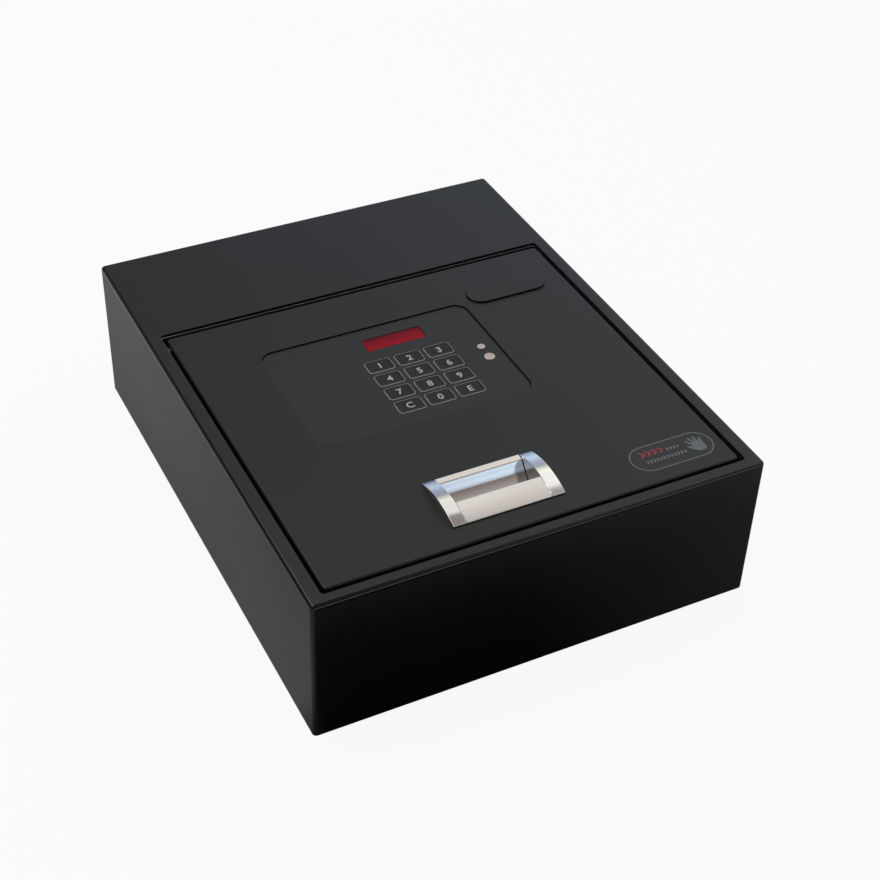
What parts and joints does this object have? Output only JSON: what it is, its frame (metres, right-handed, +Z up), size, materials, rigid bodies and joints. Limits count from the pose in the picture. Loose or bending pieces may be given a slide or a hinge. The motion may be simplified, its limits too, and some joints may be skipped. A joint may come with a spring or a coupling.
{
  "type": "top-opening drawer safe",
  "caption": "Low steel safe for a drawer: the lid in its top carries a keypad with display, a cup-pull handle, an override lock and motor-driven bolts.",
  "frame": {"origin": "bottom centre of the casing, on the surface it stands on", "axes": "+Z up, +Y to the hinge end of the lid, handle end at -Y, +X to the right seen from the handle end"},
  "size_m": [0.32, 0.394, 0.1175],
  "materials": {
    "casing_paint": "semi-gloss black-grey powder coat",
    "mat_felt": "needle felt",
    "buffer_rubber": "matt",
    "bush_nylon": "natural nylon",
    "lid_paint": "semi-gloss black-grey powder coat",
    "zinc_sheet": "zinc plated",
    "plain_steel": "bright",
    "panel_plastic": "fine texture",
    "key_plastic": "fine texture",
    "red_lens": "deep red, translucent",
    "inner_plastic": "moulded",
    "board_green": "solder resist",
    "contact_steel": "satin",
    "handle_satin": "satin",
    "cap_chrome": "polished",
    "lock_brass": "machined",
    "cell_jacket": "printed-free film",
    "button_red": "moulded"
  },
  "bodies": {
    "casing": {"body_shell": "casing_paint", "lid_frame": "casing_paint", "base_pan": "casing_paint", "floor_mat": "mat_felt", "buffer_bracket_left": "casing_paint", "buffer_bracket_right": "casing_paint", "lid_buffer_left": "buffer_rubber", "lid_buffer_right": "buffer_rubber", "hinge_bush_left": "bush_nylon", "hinge_bush_right": "bush_nylon"},
    "lid": {"lid_shell": "lid_paint", "inner_cover": "zinc_sheet", "cover_screw_1": "plain_steel", "cover_screw_2": "plain_steel", "cover_screw_3": "plain_steel", "cover_screw_4": "plain_steel", "hinge_pin_left": "plain_steel", "hinge_pin_right": "plain_steel", "keypad_panel": "panel_plastic", "display_window": "red_lens", "display_module": "inner_plastic", "circuit_board": "board_green", "contact_small": "contact_steel", "contact_large": "contact_steel", "handle_body": "handle_satin", "handle_cap_left": "cap_chrome", "handle_cap_right": "cap_chrome", "handle_screw_left": "plain_steel", "handle_screw_right": "plain_steel", "lock_barrel": "lock_brass", "battery_box": "inner_plastic", "battery_1": "cell_jacket", "battery_2": "cell_jacket", "battery_3": "cell_jacket", "battery_4": "cell_jacket", "bolt_guide_left": "bush_nylon", "bolt_guide_right": "bush_nylon", "gear_motor": "plain_steel", "motor_bracket": "zinc_sheet"},
    "bolt_carriage": {"bolt_bar": "zinc_sheet", "bolt_left": "plain_steel", "bolt_right": "plain_steel"},
    "pinion": {"drive_pinion": "lock_brass"},
    "lock": {"lock_plug": "plain_steel", "lock_cam": "plain_steel"},
    "key_cover": {"key_cover": "lid_paint"},
    "battery_door": {"battery_door": "inner_plastic"},
    "reset_button": {"reset_button": "button_red"},
    "key_0": {"key_0": "key_plastic"},
    "key_1": {"key_1": "key_plastic"},
    "key_2": {"key_2": "key_plastic"},
    "key_3": {"key_3": "key_plastic"},
    "key_4": {"key_4": "key_plastic"},
    "key_5": {"key_5": "key_plastic"},
    "key_6": {"key_6": "key_plastic"},
    "key_7": {"key_7": "key_plastic"},
    "key_8": {"key_8": "key_plastic"},
    "key_9": {"key_9": "key_plastic"},
    "key_clear": {"key_clear": "key_plastic"},
    "key_enter": {"key_enter": "key_plastic"}
  },
  "joints": [
    {"name": "lid_hinge", "type": "hinge", "parent": "casing", "child": "lid", "pos_m": [0, 0.08425, 0.103], "axis": [-1, 0, 0], "range_deg": [0, 97]},
    {"name": "bolt_slide", "type": "slide", "parent": "lid", "child": "bolt_carriage", "axis": [0, -1, 0], "range_m": [0, 0.01]},
    {"name": "pinion_turn", "type": "hinge", "parent": "lid", "child": "pinion", "pos_m": [0.039, -0.085, 0.099], "axis": [-1, 0, 0], "range_deg": [0, 95.5]},
    {"name": "lock_turn", "type": "hinge", "parent": "lid", "child": "lock", "pos_m": [0.1002, 0.0493, 0.1], "axis": [0, 0, 1], "range_deg": [-90, 0]},
    {"name": "key_cover_lift", "type": "slide", "parent": "lid", "child": "key_cover", "axis": [0, 0, 1], "range_m": [0, 0.025]},
    {"name": "battery_door_hinge", "type": "hinge", "parent": "lid", "child": "battery_door", "pos_m": [-0.038, 0.02405, 0.081], "axis": [1, 0, 0], "range_deg": [0, 90]},
    {"name": "reset_press", "type": "slide", "parent": "lid", "child": "reset_button", "axis": [0, 0, 1], "range_m": [0, 0.0015], "stiffness_N_per_m": 300, "springref_m": -0.0005},
    {"name": "key_0_press", "type": "slide", "parent": "lid", "child": "key_0", "axis": [0, 0, -1], "range_m": [0, 0.0008], "stiffness_N_per_m": 300, "springref_m": -0.0005},
    {"name": "key_1_press", "type": "slide", "parent": "lid", "child": "key_1", "axis": [0, 0, -1], "range_m": [0, 0.0008], "stiffness_N_per_m": 300, "springref_m": -0.0005},
    {"name": "key_2_press", "type": "slide", "parent": "lid", "child": "key_2", "axis": [0, 0, -1], "range_m": [0, 0.0008], "stiffness_N_per_m": 300, "springref_m": -0.0005},
    {"name": "key_3_press", "type": "slide", "parent": "lid", "child": "key_3", "axis": [0, 0, -1], "range_m": [0, 0.0008], "stiffness_N_per_m": 300, "springref_m": -0.0005},
    {"name": "key_4_press", "type": "slide", "parent": "lid", "child": "key_4", "axis": [0, 0, -1], "range_m": [0, 0.0008], "stiffness_N_per_m": 300, "springref_m": -0.0005},
    {"name": "key_5_press", "type": "slide", "parent": "lid", "child": "key_5", "axis": [0, 0, -1], "range_m": [0, 0.0008], "stiffness_N_per_m": 300, "springref_m": -0.0005},
    {"name": "key_6_press", "type": "slide", "parent": "lid", "child": "key_6", "axis": [0, 0, -1], "range_m": [0, 0.0008], "stiffness_N_per_m": 300, "springref_m": -0.0005},
    {"name": "key_7_press", "type": "slide", "parent": "lid", "child": "key_7", "axis": [0, 0, -1], "range_m": [0, 0.0008], "stiffness_N_per_m": 300, "springref_m": -0.0005},
    {"name": "key_8_press", "type": "slide", "parent": "lid", "child": "key_8", "axis": [0, 0, -1], "range_m": [0, 0.0008], "stiffness_N_per_m": 300, "springref_m": -0.0005},
    {"name": "key_9_press", "type": "slide", "parent": "lid", "child": "key_9", "axis": [0, 0, -1], "range_m": [0, 0.0008], "stiffness_N_per_m": 300, "springref_m": -0.0005},
    {"name": "key_clear_press", "type": "slide", "parent": "lid", "child": "key_clear", "axis": [0, 0, -1], "range_m": [0, 0.0008], "stiffness_N_per_m": 300, "springref_m": -0.0005},
    {"name": "key_enter_press", "type": "slide", "parent": "lid", "child": "key_enter", "axis": [0, 0, -1], "range_m": [0, 0.0008], "stiffness_N_per_m": 300, "springref_m": -0.0005}
  ],
  "couplings": [
    {"joint": "pinion_turn", "follows": "bolt_slide", "rad_per_m": 166.67}
  ]
}
